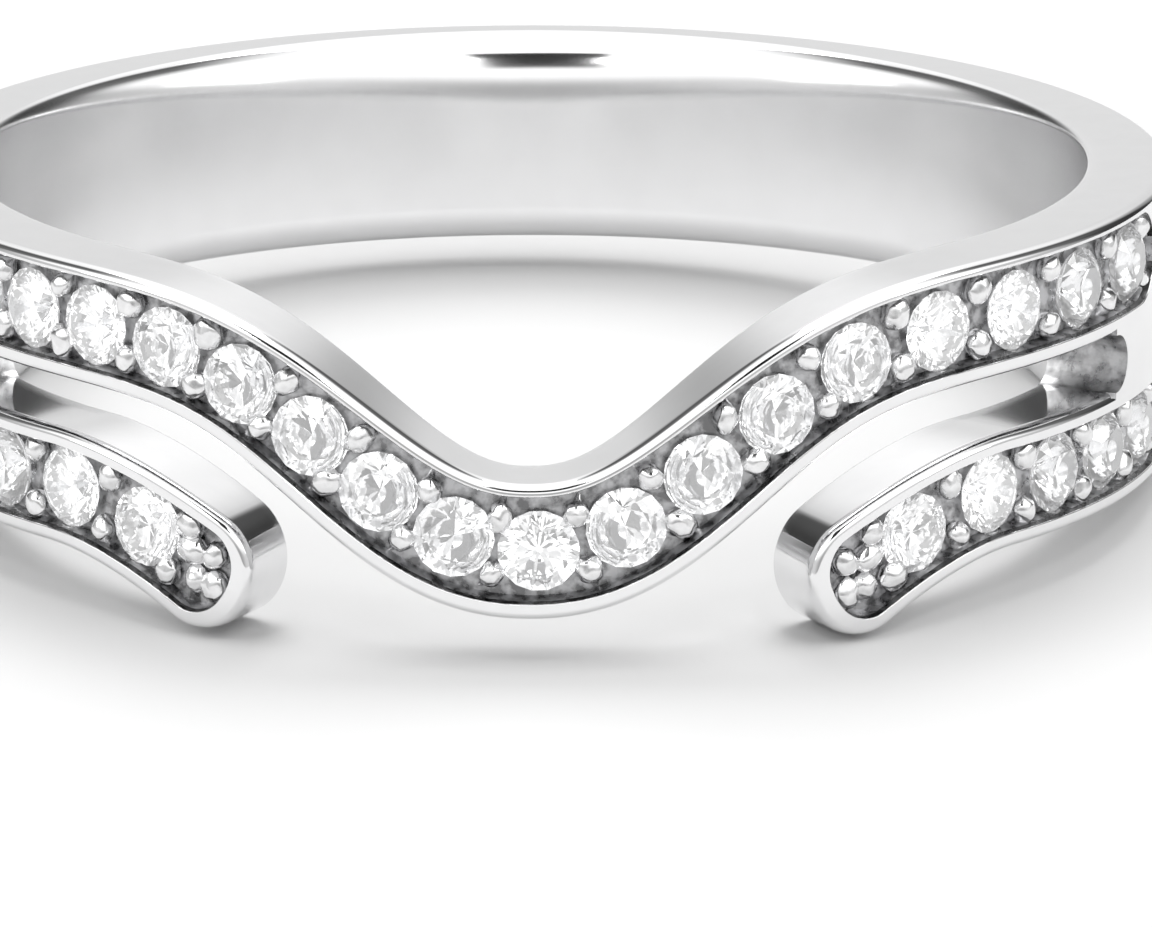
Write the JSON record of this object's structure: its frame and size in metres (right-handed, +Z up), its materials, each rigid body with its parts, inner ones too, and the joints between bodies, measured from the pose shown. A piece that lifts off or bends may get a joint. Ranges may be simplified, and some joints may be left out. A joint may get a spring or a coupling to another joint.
{
  "type": "ring guard enhancer",
  "caption": "White metal ring guard whose stone-set front splits into a dipped upper arm and two short lower arms, made to be worn round a solitaire ring.",
  "frame": {"origin": "middle of the ring's box on the floor it rests on", "axes": "+X to the ring's right as seen from its front, +Y from the dipped front towards the plain back, +Z up, nearly along the finger hole; the ring rests on both sides of its band and on its lower right tip and so leans back"},
  "size_m": [0.02, 0.0202, 0.0054],
  "materials": {
    "white_metal": "polished white metal",
    "stone": "clear cut stone"
  },
  "bodies": {
    "root": {"ring": "white_metal", "upper_stone_1": "stone", "upper_stone_2": "stone", "upper_stone_3": "stone", "upper_stone_4": "stone", "upper_stone_5": "stone", "upper_stone_6": "stone", "upper_stone_7": "stone", "upper_stone_8": "stone", "upper_stone_9": "stone", "upper_stone_10": "stone", "upper_stone_11": "stone", "upper_stone_12": "stone", "upper_stone_13": "stone", "upper_stone_14": "stone", "upper_stone_15": "stone", "upper_stone_16": "stone", "upper_stone_17": "stone", "upper_stone_18": "stone", "lower_left_stone_1": "stone", "lower_left_stone_2": "stone", "lower_left_stone_3": "stone", "lower_left_stone_4": "stone", "lower_left_stone_5": "stone", "lower_right_stone_1": "stone", "lower_right_stone_2": "stone", "lower_right_stone_3": "stone", "lower_right_stone_4": "stone", "lower_right_stone_5": "stone"}
  },
  "joints": []
}
